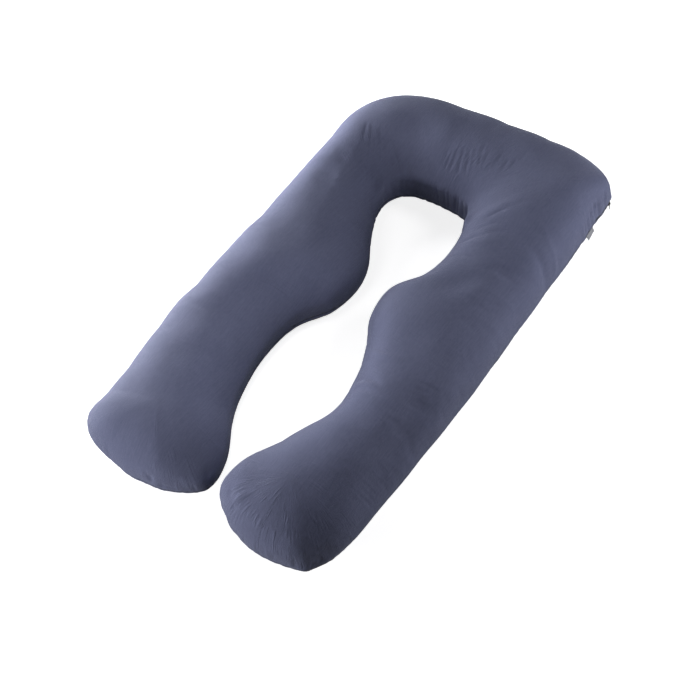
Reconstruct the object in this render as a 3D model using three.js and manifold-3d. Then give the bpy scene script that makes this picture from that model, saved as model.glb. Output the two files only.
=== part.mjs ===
// U-shaped body pillow in a stretch jersey cover: one filled solid with its crown, its drawn-in seam
// and a flat underside, a closed zip in the seam of the right side with its slider and pull,
// and a blank folded label sewn into the same seam.
// Millimetres, +Z up. The head bar lies towards +Y and the two legs run towards -Y.
// The origin is on the resting plane, below the middle of the whole pillow's box.

import * as THREE from 'three';
import { mergeVertices } from 'three/addons/utils/BufferGeometryUtils.js';
import Module from 'manifold-3d';

const wasm = await Module();
wasm.setup();

// Driving dimensions
const body = {
  seamShare: 0.335, // height of the seam, as a share of the crown's height
  topRoundness: 2.5, // superellipse exponent of a section above the seam
  bottomRoundness: 1.4, // the same below the seam
  restShare: 0.42, // half width of the flat underside, as a share of the limb's half width
  stepsPerRow: 3, // facets between two rows of the tables
  topSteps: 7, // facets from the crown to the seam
  bottomSteps: 5, // facets from the seam to the flat underside
};

// The seam is drawn in as a groove round the whole outline. It is wider where the zip lies in it.
const seam = { depth: 4, floor: 0.8, lip: 6 };

const zip = {
  firstFacet: 9, // facets of the right limb between which the zip runs
  lastFacet: 25,
  floor: 3, // half height of the groove's floor along the zip
  halfHeight: 2.4,
  thickness: 1.8,
  sliderRow: 3.2,
};

const slider = { length: 11, noseWidth: 6, tailWidth: 7.6, thickness: 2.2 };
const bridge = { span: 8.2, rise: 3.4, wall: 1.2, width: 1.8, root: 0.6 };
const pull = { length: 24, ringRadius: 3.5, holeRadius: 2, neckWidth: 4.4, endWidth: 6.2, thickness: 1.2 };
const label = { row: 4.17, width: 34, reach: 13, thickness: 1.2, rootInset: 2, droop: 62, drop: 3.3 };

const clearance = 0.3; // gap between two pieces that touch

// The pillow's plan. There is one row for each section across a limb, from the middle of the head bar
// down to the foot: the seam's point on the inner side and on the outer side, and the crown's height.
const headMiddle = { inner: [0, 366], outer: [0, 649], crown: 160 };

const rightLimb = [
  { inner: [42, 362], outer: [130, 650], crown: 161 },
  { inner: [76, 340], outer: [232, 640], crown: 163 },
  { inner: [90, 306], outer: [328, 588], crown: 166 },
  { inner: [95, 274], outer: [336, 491], crown: 166 },
  { inner: [103, 230], outer: [342, 380], crown: 162 },
  { inner: [105, 172], outer: [342, 270], crown: 160 },
  { inner: [85, 103], outer: [345, 160], crown: 165 },
  { inner: [45, 40], outer: [349, 50], crown: 172 },
  { inner: [52, -30], outer: [351, -50], crown: 174 },
  { inner: [90, -105], outer: [350, -140], crown: 168 },
  { inner: [122, -200], outer: [347, -240], crown: 162 },
  { inner: [124, -303], outer: [342, -340], crown: 160 },
  { inner: [78, -410], outer: [339, -430], crown: 163 },
  { inner: [37, -497], outer: [337, -511], crown: 165 },
];

const leftLimb = [
  { inner: [-45, 366], outer: [-130, 643], crown: 161 },
  { inner: [-94, 357], outer: [-225, 624], crown: 163 },
  { inner: [-127, 321], outer: [-299, 575], crown: 166 },
  { inner: [-129, 278], outer: [-343, 491], crown: 166 },
  { inner: [-111, 230], outer: [-349, 380], crown: 162 },
  { inner: [-85, 180], outer: [-347, 270], crown: 160 },
  { inner: [-50, 117], outer: [-345, 160], crown: 165 },
  { inner: [-32, 41], outer: [-345, 50], crown: 172 },
  { inner: [-46, -32], outer: [-346, -50], crown: 174 },
  { inner: [-92, -105], outer: [-346, -140], crown: 168 },
  { inner: [-107, -201], outer: [-348, -240], crown: 162 },
  { inner: [-96, -297], outer: [-343, -340], crown: 160 },
  { inner: [-59, -403], outer: [-335, -430], crown: 163 },
  { inner: [-9, -491], outer: [-335, -507], crown: 165 },
];

// The seam round each foot, from the last row's outer point to its inner point.
const rightFoot = [[323, -575], [292, -627], [230, -646], [151, -643], [76, -613], [29, -565]];
const leftFoot = [[-335, -564], [-299, -604], [-224, -624], [-152, -636], [-71, -623], [-2, -577]];

// Colours and finishes
const materials = {
  jersey: new THREE.MeshStandardMaterial({ color: 0x5b6078, roughness: 0.85, metalness: 0 }),
  coil: new THREE.MeshStandardMaterial({ color: 0x1c1d24, roughness: 0.5, metalness: 0 }),
  slider: new THREE.MeshStandardMaterial({ color: 0x121317, roughness: 0.35, metalness: 0.6 }),
  pull: new THREE.MeshStandardMaterial({ color: 0x15161a, roughness: 0.35, metalness: 0.6 }),
  label: new THREE.MeshStandardMaterial({ color: 0x74767f, roughness: 0.8, metalness: 0 }),
};

// Joins equal vertices of a triangle list and leaves out triangles that have shrunk to a line.
function closedGeometry(vertices, triangles) {
  const raw = new THREE.BufferGeometry();
  raw.setAttribute('position', new THREE.Float32BufferAttribute(vertices.flatMap((v) => v.toArray()), 3));
  raw.setIndex(triangles.flat());
  const merged = mergeVertices(raw, 1e-3);
  const index = Array.from(merged.index.array);
  const kept = [];
  for (let k = 0; k < index.length; k += 3) {
    const [a, b, c] = index.slice(k, k + 3);
    if (a !== b && b !== c && c !== a) kept.push(a, b, c);
  }
  merged.setIndex(kept);
  return merged;
}

// Rows of the whole pillow in one line, from the left foot over the head bar to the right foot.
const rows = [...leftLimb].reverse().concat([headMiddle], rightLimb);
const lastRow = rows.length - 1;
const headRow = leftLimb.length;

const spine = new THREE.CatmullRomCurve3(
  rows.map(({ inner, outer, crown }) => (
    new THREE.Vector3((inner[0] + outer[0]) / 2, (inner[1] + outer[1]) / 2, crown)
  )),
);

const outlinePoints = [
  ...rows.map((row) => row.outer),
  ...rightFoot,
  ...[...rows].reverse().map((row) => row.inner),
  ...[...leftFoot].reverse(),
];
const outline = new THREE.CatmullRomCurve3(
  outlinePoints.map(([x, y]) => new THREE.Vector3(x, y, 0)),
  true,
);

// The place on the spine that belongs to a place on the outline, both counted in rows.
function spineRow(place) {
  const innerStart = lastRow + rightFoot.length + 1;
  if (place <= lastRow) return place;
  if (place <= innerStart) return lastRow;
  return Math.max(lastRow - (place - innerStart), 0);
}

// The seam at a place on the outline: its point, the crown over it and the horizontal way out.
function seamAt(place) {
  const share = place / outlinePoints.length;
  const point = outline.getPoint(share);
  const tangent = outline.getTangent(share);
  const crown = spine.getPoint(spineRow(place) / lastRow);
  return {
    point,
    crown,
    outward: new THREE.Vector3(-tangent.y, tangent.x, 0).normalize(),
    height: crown.z * body.seamShare,
  };
}

function inZip(facet) {
  const fromHead = facet - headRow * body.stepsPerRow;
  return fromHead >= zip.firstFacet && fromHead <= zip.lastFacet;
}

// A point on a section: a share of the way from the spine to the seam, a depth inside it, and a height.
function sectionPoint(at, share, inset, z) {
  return new THREE.Vector3(at.crown.x, at.crown.y, 0)
    .lerp(at.point, share)
    .addScaledVector(at.outward, -inset)
    .setZ(z);
}

// Half a section, from the crown over the upper half, through the seam's groove to the underside.
function halfSection(facet) {
  const at = seamAt(facet / body.stepsPerRow);
  const rise = at.crown.z - at.height;
  const floor = inZip(facet) ? zip.floor : seam.floor;
  const points = [];
  const topEnd = Math.asin((seam.lip / rise) ** (body.topRoundness / 2));
  for (let k = 0; k <= body.topSteps; k += 1) {
    const angle = THREE.MathUtils.lerp(Math.PI / 2, topEnd, k / body.topSteps);
    const reach = k === 0 ? 0 : Math.cos(angle) ** (2 / body.topRoundness);
    points.push(sectionPoint(at, reach, 0, at.height + rise * Math.sin(angle) ** (2 / body.topRoundness)));
  }
  points.push(sectionPoint(at, 1, seam.depth, at.height + floor));
  points.push(sectionPoint(at, 1, seam.depth, at.height - floor));
  const bottomStart = Math.asin((seam.lip / at.height) ** (body.bottomRoundness / 2));
  for (let k = 0; k <= body.bottomSteps; k += 1) {
    const angle = THREE.MathUtils.lerp(bottomStart, Math.PI / 2, k / body.bottomSteps);
    const curl = k === body.bottomSteps ? 0 : Math.cos(angle) ** (2 / body.bottomRoundness);
    const reach = THREE.MathUtils.lerp(body.restShare, 1, curl);
    points.push(sectionPoint(at, reach, 0, at.height * (1 - Math.sin(angle) ** (2 / body.bottomRoundness))));
  }
  points.push(sectionPoint(at, 0, 0, 0));
  return points;
}

// The filled pillow: half sections side by side, once round the outline.
function pillowGeometry() {
  const count = outlinePoints.length * body.stepsPerRow;
  const vertices = [];
  for (let k = 0; k < count; k += 1) vertices.push(...halfSection(k));
  const ring = vertices.length / count;
  const triangles = [];
  for (let k = 0; k < count; k += 1) {
    const here = k * ring;
    const next = ((k + 1) % count) * ring;
    for (let j = 0; j < ring - 1; j += 1) {
      triangles.push([here + j, next + j, next + j + 1]);
      triangles.push([here + j, next + j + 1, here + j + 1]);
    }
  }
  return closedGeometry(vertices, triangles);
}

// A bar between two flat, convex end faces, one ring of points for each step along it.
function barGeometry(rings) {
  const ring = rings[0].length;
  const triangles = [];
  for (let k = 0; k < rings.length - 1; k += 1) {
    for (let j = 0; j < ring; j += 1) {
      const here = k * ring;
      const next = (k + 1) * ring;
      const after = (j + 1) % ring;
      triangles.push([here + j, here + after, next + after]);
      triangles.push([here + j, next + after, next + j]);
    }
  }
  const end = (rings.length - 1) * ring;
  for (let j = 1; j < ring - 1; j += 1) {
    triangles.push([0, j + 1, j]);
    triangles.push([end, end + j, end + j + 1]);
  }
  return closedGeometry(rings.flat(), triangles);
}

// The closed row of teeth, seated on the floor of the groove and following its facets.
function zipChainGeometry() {
  const inside = seam.depth - clearance;
  const outside = inside - zip.thickness;
  const rings = [];
  for (let facet = zip.firstFacet; facet <= zip.lastFacet; facet += 1) {
    const at = seamAt(headRow + facet / body.stepsPerRow);
    rings.push([
      sectionPoint(at, 1, inside, at.height - zip.halfHeight),
      sectionPoint(at, 1, outside, at.height - zip.halfHeight),
      sectionPoint(at, 1, outside, at.height + zip.halfHeight),
      sectionPoint(at, 1, inside, at.height + zip.halfHeight),
    ]);
  }
  return barGeometry(rings);
}

// Places a piece on the seam's facet at that row: its x axis runs towards the head, y up and z outwards.
function placeOnSeam(mesh, row) {
  const facet = Math.floor(row * body.stepsPerRow);
  const share = row * body.stepsPerRow - facet;
  const start = seamAt(headRow + facet / body.stepsPerRow);
  const end = seamAt(headRow + (facet + 1) / body.stepsPerRow);
  const point = start.point.clone().lerp(end.point, share);
  const up = new THREE.Vector3(0, 0, 1);
  const headward = start.point.clone().sub(end.point).normalize();
  const outward = new THREE.Vector3().crossVectors(headward, up);
  mesh.matrix.makeBasis(headward, up, outward);
  mesh.matrix.setPosition(point.x, point.y, THREE.MathUtils.lerp(start.height, end.height, share));
  mesh.matrix.decompose(mesh.position, mesh.quaternion, mesh.scale);
  return mesh;
}

function toSolid(geometry) {
  const bare = geometry.clone();
  bare.deleteAttribute('normal');
  bare.deleteAttribute('uv');
  const merged = mergeVertices(bare, 1e-4);
  return new wasm.Manifold(new wasm.Mesh({
    numProp: 3,
    vertProperties: new Float32Array(merged.attributes.position.array),
    triVerts: new Uint32Array(merged.index.array),
  }));
}

function toGeometry(solid) {
  const { vertProperties, triVerts } = solid.getMesh();
  const geometry = new THREE.BufferGeometry();
  geometry.setAttribute('position', new THREE.BufferAttribute(vertProperties, 3));
  geometry.setIndex(new THREE.BufferAttribute(triVerts, 1));
  return geometry;
}

// Outer faces of the chain and of the slider's plate, as distances out from the seam.
const chainFace = zip.thickness + clearance - seam.depth;
const sliderFace = chainFace + clearance + slider.thickness;

// The slider's plate with the bridge that holds the pull.
function sliderGeometry() {
  const half = slider.length / 2;
  const plateShape = new THREE.Shape([
    new THREE.Vector2(half - 2, slider.tailWidth / 2),
    new THREE.Vector2(1 - half, slider.noseWidth / 2),
    new THREE.Vector2(-half, slider.noseWidth / 2 - 1.4),
    new THREE.Vector2(-half, 1.4 - slider.noseWidth / 2),
    new THREE.Vector2(1 - half, -slider.noseWidth / 2),
    new THREE.Vector2(half - 2, -slider.tailWidth / 2),
    new THREE.Vector2(half, 1.6 - slider.tailWidth / 2),
    new THREE.Vector2(half, slider.tailWidth / 2 - 1.6),
  ]);
  const plate = new THREE.ExtrudeGeometry(plateShape, { depth: slider.thickness, bevelEnabled: false });
  plate.translate(0, 0, sliderFace - slider.thickness);

  const side = bridge.span / 2;
  const inner = side - bridge.wall;
  const roof = bridge.rise - bridge.wall;
  const bridgeShape = new THREE.Shape([
    new THREE.Vector2(-side, -bridge.root),
    new THREE.Vector2(-inner, -bridge.root),
    new THREE.Vector2(-inner, roof - 0.5),
    new THREE.Vector2(0.5 - inner, roof),
    new THREE.Vector2(inner - 0.5, roof),
    new THREE.Vector2(inner, roof - 0.5),
    new THREE.Vector2(inner, -bridge.root),
    new THREE.Vector2(side, -bridge.root),
    new THREE.Vector2(side, bridge.rise - 1),
    new THREE.Vector2(side - 1, bridge.rise),
    new THREE.Vector2(1 - side, bridge.rise),
    new THREE.Vector2(-side, bridge.rise - 1),
  ]);
  const arch = new THREE.ExtrudeGeometry(bridgeShape, { depth: bridge.width, bevelEnabled: false });
  arch.rotateX(Math.PI / 2);
  arch.translate(0, bridge.width / 2, sliderFace);
  return toGeometry(toSolid(plate).add(toSolid(arch)));
}

// The pull hangs straight down. Its ring goes round the bridge's leg on the head side.
function pullGeometry() {
  const shape = new THREE.Shape();
  const neck = Math.asin(pull.neckWidth / 2 / pull.ringRadius);
  const end = pull.ringRadius - pull.length;
  shape.absarc(0, 0, pull.ringRadius, neck - Math.PI / 2, 1.5 * Math.PI - neck, false);
  shape.lineTo(-pull.endWidth / 2, end + 2);
  shape.lineTo(1.2 - pull.endWidth / 2, end);
  shape.lineTo(pull.endWidth / 2 - 1.2, end);
  shape.lineTo(pull.endWidth / 2, end + 2);
  const hole = new THREE.Path();
  hole.absarc(0, 0, pull.holeRadius, 0, 2 * Math.PI, true);
  shape.holes.push(hole);
  const options = { depth: pull.thickness, bevelEnabled: false, curveSegments: 14 };
  const plate = new THREE.ExtrudeGeometry(shape, options);
  const legCentre = bridge.span / 2 - bridge.wall / 2;
  const hang = bridge.width / 2 + clearance - pull.holeRadius;
  plate.translate(legCentre, hang, sliderFace + clearance);
  return toGeometry(toSolid(plate));
}

// The label is one strip folded in half. Its root lies between the zip and the groove's lower wall,
// and its rounded fold points outwards and down.
function labelGeometry() {
  const half = label.thickness / 2;
  const profile = [[0, -half], [label.reach - half, -half]];
  for (let k = 1; k < 6; k += 1) {
    const angle = THREE.MathUtils.lerp(-Math.PI / 2, Math.PI / 2, k / 6);
    profile.push([label.reach - half + half * Math.cos(angle), half * Math.sin(angle)]);
  }
  profile.push([label.reach - half, half], [0, half]);
  const droop = THREE.MathUtils.degToRad(label.droop);
  const rings = [-label.width / 2, 0, label.width / 2].map((along) => profile.map(([out, up]) => (
    new THREE.Vector3(
      along,
      up * Math.cos(droop) - out * Math.sin(droop) - label.drop,
      out * Math.cos(droop) + up * Math.sin(droop) - label.rootInset,
    )
  )));
  return barGeometry(rings.reverse());
}

const group = new THREE.Group();

function piece(name, geometry, material) {
  const mesh = new THREE.Mesh(geometry, material);
  mesh.name = name;
  group.add(mesh);
  return mesh;
}

piece('pillow', pillowGeometry(), materials.jersey);
piece('zip_chain', zipChainGeometry(), materials.coil);
placeOnSeam(piece('zip_slider', sliderGeometry(), materials.slider), zip.sliderRow);
placeOnSeam(piece('zip_pull', pullGeometry(), materials.pull), zip.sliderRow);
placeOnSeam(piece('side_label', labelGeometry(), materials.label), label.row);

// The box's middle goes to the origin, on the plane that the pillow rests on.
const box = new THREE.Box3().setFromObject(group);
group.position.set(-(box.min.x + box.max.x) / 2, -(box.min.y + box.max.y) / 2, 0);

export default group;
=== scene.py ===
import math
import bmesh
import bpy
import numpy as np
from mathutils import Matrix, Vector
from mathutils.bvhtree import BVHTree
from mathutils.interpolate import poly_3d_calc


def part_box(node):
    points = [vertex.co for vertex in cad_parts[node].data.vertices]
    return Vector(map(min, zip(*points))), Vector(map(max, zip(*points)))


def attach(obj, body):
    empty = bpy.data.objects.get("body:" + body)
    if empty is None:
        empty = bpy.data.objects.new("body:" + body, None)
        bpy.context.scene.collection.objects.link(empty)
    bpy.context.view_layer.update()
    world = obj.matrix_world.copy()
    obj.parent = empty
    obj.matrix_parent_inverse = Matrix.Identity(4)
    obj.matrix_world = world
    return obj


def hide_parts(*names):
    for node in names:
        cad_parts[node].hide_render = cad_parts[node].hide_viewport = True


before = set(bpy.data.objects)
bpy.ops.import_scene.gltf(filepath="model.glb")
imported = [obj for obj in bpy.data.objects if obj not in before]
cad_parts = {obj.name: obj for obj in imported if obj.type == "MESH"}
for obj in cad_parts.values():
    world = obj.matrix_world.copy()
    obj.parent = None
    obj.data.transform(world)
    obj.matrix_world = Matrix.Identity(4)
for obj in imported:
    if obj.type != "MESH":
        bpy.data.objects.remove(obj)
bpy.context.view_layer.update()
print("frame loaded:", sorted(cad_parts))

# Camera, at the angle from which the pillow is seen lying on its back
cameraView = {
    "azimuth": 39.89, "elevation": 51.43, "roll": -7.34,  # degrees
    "distance": 3.556, "target": (0.0608, -0.1256, 0.080),
    "lens": 82.27, "sensor": 36.0, "near": 0.05, "far": 50.0,
}


def addPiece(name, data):
    piece = bpy.data.objects.new(name, data)
    bpy.context.scene.collection.objects.link(piece)
    return piece


def makeCamera(view):
    azimuth, elevation, roll = (math.radians(view[name]) for name in ("azimuth", "elevation", "roll"))
    back = Vector((
        math.sin(azimuth) * math.cos(elevation),
        -math.cos(azimuth) * math.cos(elevation),
        math.sin(elevation),
    ))
    right = (-back).cross(Vector((0, 0, 1))).normalized()
    up = back.cross(right)
    rolledRight = math.cos(roll) * right + math.sin(roll) * up
    rolledUp = math.cos(roll) * up - math.sin(roll) * right
    data = bpy.data.cameras.new("camera")
    data.lens, data.sensor_width = view["lens"], view["sensor"]
    data.clip_start, data.clip_end = view["near"], view["far"]
    camera = addPiece("camera", data)
    turn = Matrix((rolledRight, rolledUp, back)).transposed()
    eye = Vector(view["target"]) + back * view["distance"]
    camera.matrix_world = Matrix.Translation(eye) @ turn.to_4x4()
    bpy.context.scene.camera = camera


makeCamera(cameraView)

# The pillow's plan, in millimetres. There is one row for each section across a limb, from the middle
# of the head bar down to the foot: the seam's point on the inner side, its point on the outer side,
# and the crown's height between them.
pillowPlan = {
    "headMiddle": (0, 366, 0, 649, 160),
    "rightLimb": [
        (42, 362, 130, 650, 161), (76, 340, 232, 640, 163), (90, 306, 328, 588, 166),
        (95, 274, 336, 491, 166), (103, 230, 342, 380, 162), (105, 172, 342, 270, 160),
        (85, 103, 345, 160, 165), (45, 40, 349, 50, 172), (52, -30, 351, -50, 174),
        (90, -105, 350, -140, 168), (122, -200, 347, -240, 162), (124, -303, 342, -340, 160),
        (78, -410, 339, -430, 163), (37, -497, 337, -511, 165),
    ],
    "leftLimb": [
        (-45, 366, -130, 643, 161), (-94, 357, -225, 624, 163), (-127, 321, -299, 575, 166),
        (-129, 278, -343, 491, 166), (-111, 230, -349, 380, 162), (-85, 180, -347, 270, 160),
        (-50, 117, -345, 160, 165), (-32, 41, -345, 50, 172), (-46, -32, -346, -50, 174),
        (-92, -105, -346, -140, 168), (-107, -201, -348, -240, 162), (-96, -297, -343, -340, 160),
        (-59, -403, -335, -430, 163), (-9, -491, -335, -507, 165),
    ],
    # The seam round each foot, from the last row's outer point to its inner point
    "rightFoot": [(323, -575), (292, -627), (230, -646), (151, -643), (76, -613), (29, -565)],
    "leftFoot": [(-335, -564), (-299, -604), (-224, -624), (-152, -636), (-71, -623), (-2, -577)],
}

pillowForm = {
    "seamShare": 0.335,  # the seam's height as a share of the crown's
    # how square the upper half is at some places along the outline, and evenly between them
    "fullness": [
        (0, 1.9), (1.5, 2.3), (3, 2.5), (10, 2.5), (16, 2.6), (17, 3.2), (19, 3.2), (20.5, 2.6),
        (22, 3.2), (24, 2.9), (25.5, 2.2), (28, 2.1), (30, 2.3), (33, 2.3), (35, 2.2), (36.6, 2.3),
        (38, 2.5), (45, 2.5), (50.5, 2.4), (52.5, 1.75), (56, 1.75), (57.5, 2.6), (63.5, 2.6),
        (65.5, 2.2), (68, 2.0), (70, 1.9),
    ],
    # Where a section has a steep wall with a bend over it: place, how much of that, and the bend's height
    # as a share of the rise
    "walls": [
        (45.0, 0, 0.555), (46.1, 1, 0.555), (52.2, 1, 0.50), (53.5, 0, 0.45),
        (57.2, 0, 0.34), (58.2, 1, 0.34), (64.0, 1, 0.30), (65.4, 0, 0.30),
    ],
    "wallSection": [  # from the seam up: shares of the reach, of the wall and of the dome over the bend
        (1.0, 0.0, 0.0), (1.0, 0.45, 0.0), (0.998, 0.82, 0.0), (0.988, 0.98, 0.02), (0.955, 1.0, 0.112),
        (0.86, 1.0, 0.281), (0.66, 1.0, 0.596), (0.42, 1.0, 0.843), (0.18, 1.0, 0.973), (0.0, 1.0, 1.0),
    ],
    "bottomRoundness": 1.4,
    "restShare": 0.42,  # half width of the flat underside as a share of the limb's
    "restFade": 0.02,  # the height over which all relief of the cover fades towards the underside
    "footRow": 0.07,  # how far the limb's map goes on for each row round a foot
    "stepsPerRow": 24, "topSteps": 42, "lowerSteps": 12, "undersideSteps": 2,
    "firstStep": 0.22, "settleSteps": 4,  # steps are short at the seam and soon grow to an even length
    # the section whose steps all sections share
    "typicalReach": 0.12, "typicalRise": 0.108, "typicalRoundness": 2.5,
}


# Centripetal curve through the points, read at places counted in points
def throughPoints(points, places, closed):
    points = np.asarray(points, float)
    count = len(points)
    places = np.asarray(places, float)
    first = np.floor(places).astype(int)
    if not closed:
        first = np.clip(first, 0, count - 2)
        points = np.vstack([2 * points[0] - points[1], points, 2 * points[-1] - points[-2]])
        picks = [points[first + k] for k in range(4)]
    else:
        picks = [points[(first + k - 1) % count] for k in range(4)]
    share = (places - first)[:, None]
    a, b, c, d = picks
    before, between, after = (
        np.maximum(np.linalg.norm(q - p, axis=1, keepdims=True), 1e-9) ** 0.5
        for p, q in ((a, b), (b, c), (c, d))
    )
    startSlope = between * ((b - a) / before - (c - a) / (before + between) + (c - b) / between)
    endSlope = between * ((c - b) / between - (d - b) / (between + after) + (d - c) / after)
    return (
        b + startSlope * share
        + (3 * (c - b) - 2 * startSlope - endSlope) * share ** 2
        + (2 * (b - c) + startSlope + endSlope) * share ** 3
    )


def runningLength(steps):
    return np.concatenate([[0], np.cumsum(steps)])


def smoothStep(share):
    return share * share * (3 - 2 * share)


def bell(distance, width):
    return np.exp(-(distance / width) ** 2)


def unit(vectors):
    return vectors / np.linalg.norm(vectors, axis=1, keepdims=True)


class PillowOutline:
    # Places along the seam, counted in rows from the left foot over the head bar to the right foot
    def __init__(self, plan, stepsPerRow):
        rows = np.array(plan["leftLimb"][::-1] + [plan["headMiddle"]] + plan["rightLimb"]) / 1000
        rightFoot, leftFoot = (np.array(plan[name]) / 1000 for name in ("rightFoot", "leftFoot"))
        self.lastRow = len(rows) - 1
        self.innerStart = self.lastRow + len(rightFoot) + 1
        self.points = np.vstack([rows[:, 2:4], rightFoot, rows[::-1, :2], leftFoot[::-1]])
        self.spine = np.column_stack([(rows[:, 0:2] + rows[:, 2:4]) / 2, rows[:, 4]])
        self.steps = stepsPerRow
        self.count = len(self.points) * stepsPerRow
        self.places = np.arange(self.count) / stepsPerRow
        self.shift = self.shiftToFrame()
        self.seam = self.seamAt(self.places)
        self.crown = self.crownAt(self.places)
        self.outward = self.outwardAt(self.places)
        stretch = np.linalg.norm(np.roll(self.seam, -1, axis=0) - self.seam, axis=1)
        self.distance = runningLength(stretch)  # one more than the places: it ends at the start
        self.length = self.distance[-1]

    def shiftToFrame(self):
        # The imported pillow's box says where the plan lies in the frame
        facets = throughPoints(self.points, np.arange(0, len(self.points), 1 / 3), True)
        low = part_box("pillow")[0]
        return np.array([low.x, low.y]) - facets.min(axis=0)

    def seamAt(self, places):
        return throughPoints(self.points, np.asarray(places) % len(self.points), True) + self.shift

    def outwardAt(self, places):
        ahead = unit(self.seamAt(np.asarray(places) + 0.01) - self.seamAt(np.asarray(places) - 0.01))
        return np.column_stack([-ahead[:, 1], ahead[:, 0]])

    def spinePlace(self, places):
        back = self.lastRow - (places - self.innerStart)
        return np.where(
            places <= self.lastRow, places,
            np.where(places <= self.innerStart, self.lastRow, np.maximum(back, 0)),
        )

    def crownAt(self, places):
        crown = throughPoints(self.spine, self.spinePlace(np.asarray(places)), False)
        crown[:, :2] += self.shift
        return crown

    def heightAt(self, places):
        return self.crownAt(places)[:, 2] * pillowForm["seamShare"]

    def nearestRing(self, spot):
        return int(np.argmin(np.linalg.norm(self.seam - np.array(spot[:2]), axis=1)))


def gradedShares(steps, form):
    step = np.arange(steps + 1)
    way = step - (1 - form["firstStep"]) * form["settleSteps"] * (1 - np.exp(-step / form["settleSteps"]))
    return way / way[-1]


# Angles on a quarter superellipse that lie at these shares of its length, from its widest point up
def arcAngles(shares, reach, rise, roundness):
    angles = 0.5 * math.pi * np.linspace(0, 1, 4001) ** 2.5  # closest together at the widest point
    across, up = reach * np.cos(angles) ** (2 / roundness), rise * np.sin(angles) ** (2 / roundness)
    length = runningLength(np.hypot(np.diff(across), np.diff(up)))
    return np.interp(shares * length[-1], length, angles)


# The walled section at even steps of its length: shares of the reach, of the wall and of the dome
def wallSection(shares, form):
    table = form["wallSection"]
    bend = form["walls"][0][2]
    route = throughPoints(table, np.linspace(0, len(table) - 1, 400), False)
    rise = (bend * route[:, 1] + (1 - bend) * route[:, 2]) * form["typicalRise"]
    across = route[:, 0] * form["typicalReach"]
    length = runningLength(np.hypot(np.diff(across), np.diff(rise)))
    return [np.interp(shares * length[-1], length, route[:, k]) for k in range(3)]


# One half section for each place on the seam: from the crown over the seam to the middle underneath
def pillowSections(outline, form):
    reach, rise, rest = form["typicalReach"], form["typicalRise"], form["restShare"]
    topShares, lowerShares = (gradedShares(form[name], form) for name in ("topSteps", "lowerSteps"))
    upper = arcAngles(topShares, reach, rise, form["typicalRoundness"])[::-1]
    lower = arcAngles(lowerShares, reach * (1 - rest), rise / 2, form["bottomRoundness"])[1:]
    lowerPower = 2 / form["bottomRoundness"]
    seamHeight = outline.crown[:, 2] * form["seamShare"]
    above = outline.crown[:, 2] - seamHeight
    wallPlaces, wallShares, bends = (np.array(column, float) for column in zip(*form["walls"]))
    walled = smoothStep(np.interp(outline.places, wallPlaces, wallShares))[:, None]
    bend = np.interp(outline.places, wallPlaces, bends)[:, None]
    wallReach, wallUp, domeUp = (column[None, ::-1] for column in wallSection(topShares, form))
    power = 2 / np.interp(outline.places, *zip(*form["fullness"]))[:, None]
    reachUp = (1 - walled) * np.cos(upper)[None] ** power + walled * wallReach
    reachUp[:, 0] = 0
    riseUp = (1 - walled) * np.sin(upper)[None] ** power + walled * (bend * wallUp + (1 - bend) * domeUp)
    reachDown = rest + (1 - rest) * np.cos(lower) ** lowerPower
    reachDown[-1] = rest
    inward = np.linspace(rest, 0, form["undersideSteps"] + 1)[1:]
    under = np.tile(np.concatenate([reachDown, inward]), (outline.count, 1))
    across = np.hstack([reachUp, under])[:, :, None]
    up = seamHeight[:, None] + above[:, None] * riseUp
    down = seamHeight[:, None] * (1 - np.sin(lower) ** lowerPower)
    flat = np.zeros((outline.count, form["undersideSteps"]))
    plan = outline.crown[:, None, :2] * (1 - across) + outline.seam[:, None] * across
    return np.dstack([plan, np.hstack([up, down, flat])])


class PillowGrid:
    # Numbers the grid's vertices: half sections that share a crown point or a point under it are joined
    def __init__(self, outline, form):
        self.rings, self.seamColumn = outline.count, form["topSteps"]
        self.across = form["topSteps"] + form["lowerSteps"] + form["undersideSteps"]
        self.spineCount = outline.lastRow * outline.steps + 1
        spineIndex = np.rint(outline.spinePlace(outline.places) * outline.steps).astype(int)
        inner = np.arange(self.rings)[:, None] * (self.across - 1) + np.arange(self.across - 1)[None]
        self.index = np.hstack([
            spineIndex[:, None],
            2 * self.spineCount + inner,
            self.spineCount + spineIndex[:, None],
        ])
        self.total = 2 * self.spineCount + self.rings * (self.across - 1)
        here, ahead = self.index, np.roll(self.index, -1, axis=0)
        self.quads = np.dstack([here[:, :-1], ahead[:, :-1], ahead[:, 1:], here[:, 1:]]).reshape(-1, 4)
        self.kept = self.quads != np.roll(self.quads, 1, axis=1)
        ring, column = np.meshgrid(np.arange(self.rings), np.arange(self.across), indexing="ij")
        self.cornerRing = np.dstack([ring, ring + 1, ring + 1, ring]).reshape(-1, 4)[self.kept]
        self.cornerColumn = np.dstack([column, column, column + 1, column + 1]).reshape(-1, 4)[self.kept]
        self.cornerBelow = np.repeat((column >= self.seamColumn).reshape(-1), 4).reshape(-1, 4)[self.kept]

    def weld(self, values):
        welded = np.zeros((self.total, values.shape[2]) if values.ndim == 3 else self.total)
        welded[self.index] = values
        return welded

    def faces(self):
        return [quad[kept].tolist() for quad, kept in zip(self.quads, self.kept)]


def meshFrom(name, points, faces):
    mesh = bpy.data.meshes.new(name)
    mesh.from_pydata(points.tolist(), [], faces)
    mesh.polygons.foreach_set("use_smooth", [True] * len(mesh.polygons))
    mesh.update()
    return mesh


# The piece's mesh with its modifiers worked in
def finishedMesh(piece):
    graph = bpy.context.evaluated_depsgraph_get()
    return bpy.data.meshes.new_from_object(piece.evaluated_get(graph))


def readVectors(items, attribute):
    values = np.zeros(len(items) * 3)
    items.foreach_get(attribute, values)
    return values.reshape(-1, 3)


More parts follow.
